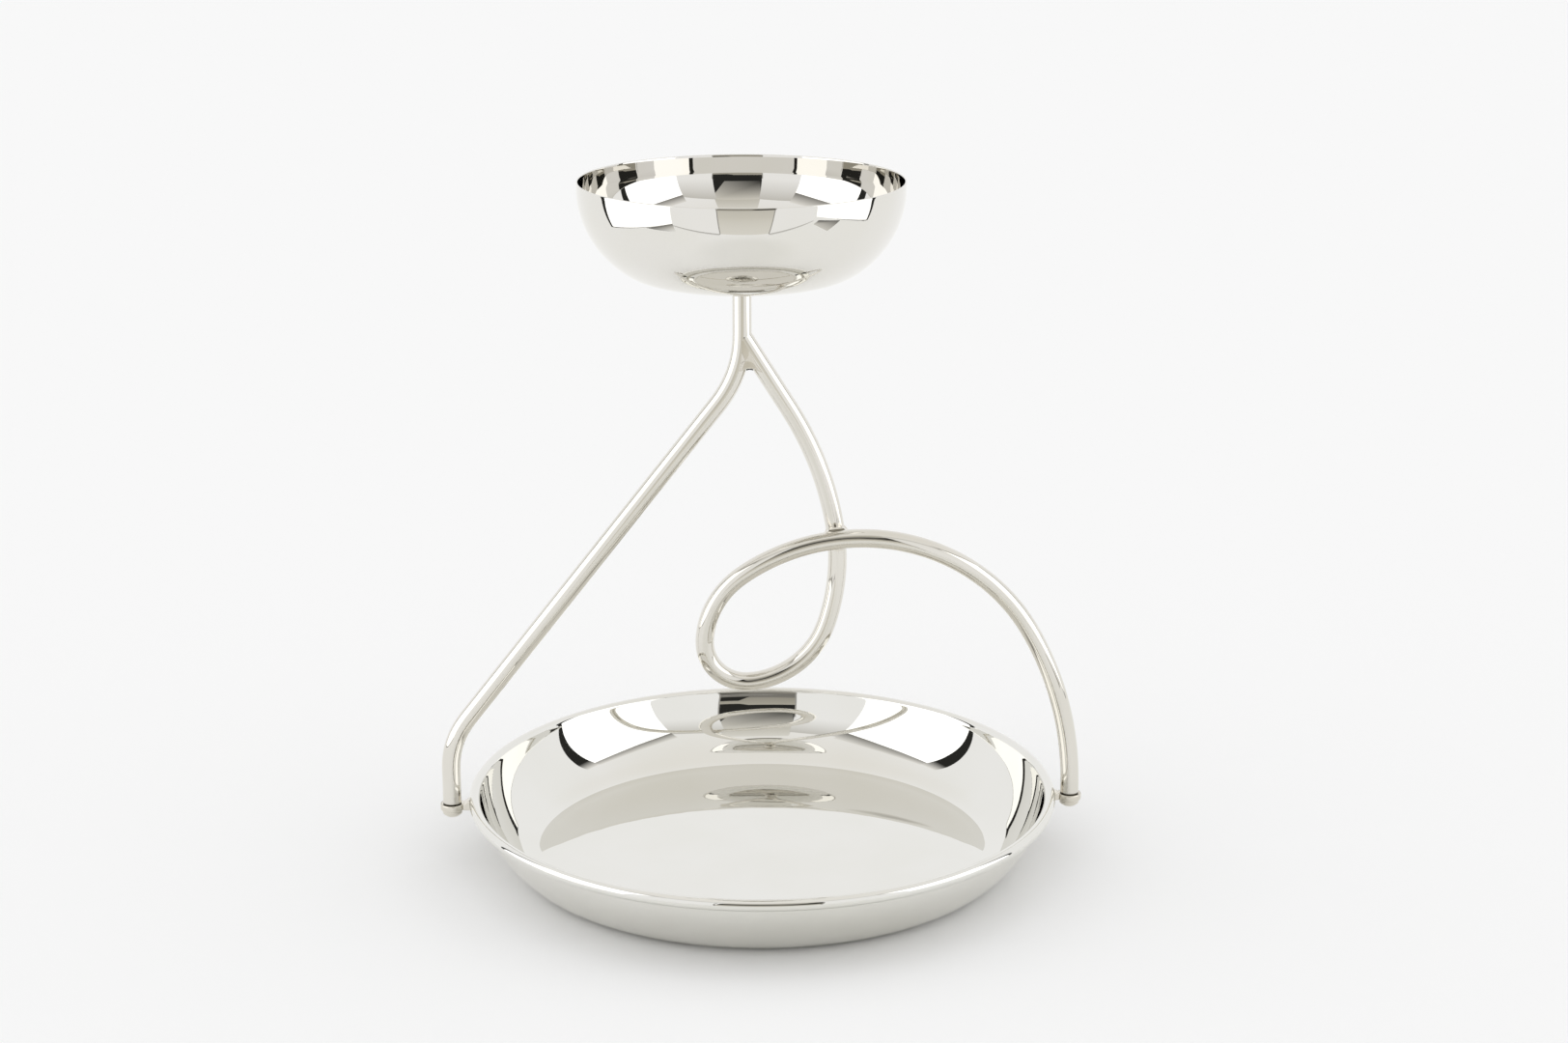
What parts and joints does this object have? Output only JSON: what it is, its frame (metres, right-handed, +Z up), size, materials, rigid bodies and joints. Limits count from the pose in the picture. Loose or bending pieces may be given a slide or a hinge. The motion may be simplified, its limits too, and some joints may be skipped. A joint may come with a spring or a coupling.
{
  "type": "two-tier serving stand",
  "caption": "Tiered serving stand: a shallow round dish with a rolled rim under a looped handle of bent rod that carries a small round bowl.",
  "frame": {"origin": "on the table, under the centre of the dish", "axes": "+Z up; +X in the handle's plane, towards the foot of the looped rod; -Y towards the front, where the arch of the rod passes in front of its other pass"},
  "size_m": [0.2794, 0.254, 0.2962],
  "materials": {
    "plated_sheet": "silver plated and mirror polished",
    "plated_rod": "silver plated and mirror polished",
    "plated_fitting": "silver plated and polished",
    "silver_solder": "silver solder, buffed",
    "rim_wire": "plain wire, hidden in the rolled rim"
  },
  "bodies": {
    "root": {"lower_dish": "plated_sheet", "rim_wire": "rim_wire", "lug_left": "plated_fitting", "lug_right": "plated_fitting", "screw_left": "plated_fitting", "screw_right": "plated_fitting", "leg_rod": "plated_rod", "loop_rod": "plated_rod", "fork_solder": "silver_solder", "crossing_solder": "silver_solder", "upper_bowl": "plated_sheet", "bowl_solder": "silver_solder"}
  },
  "joints": []
}
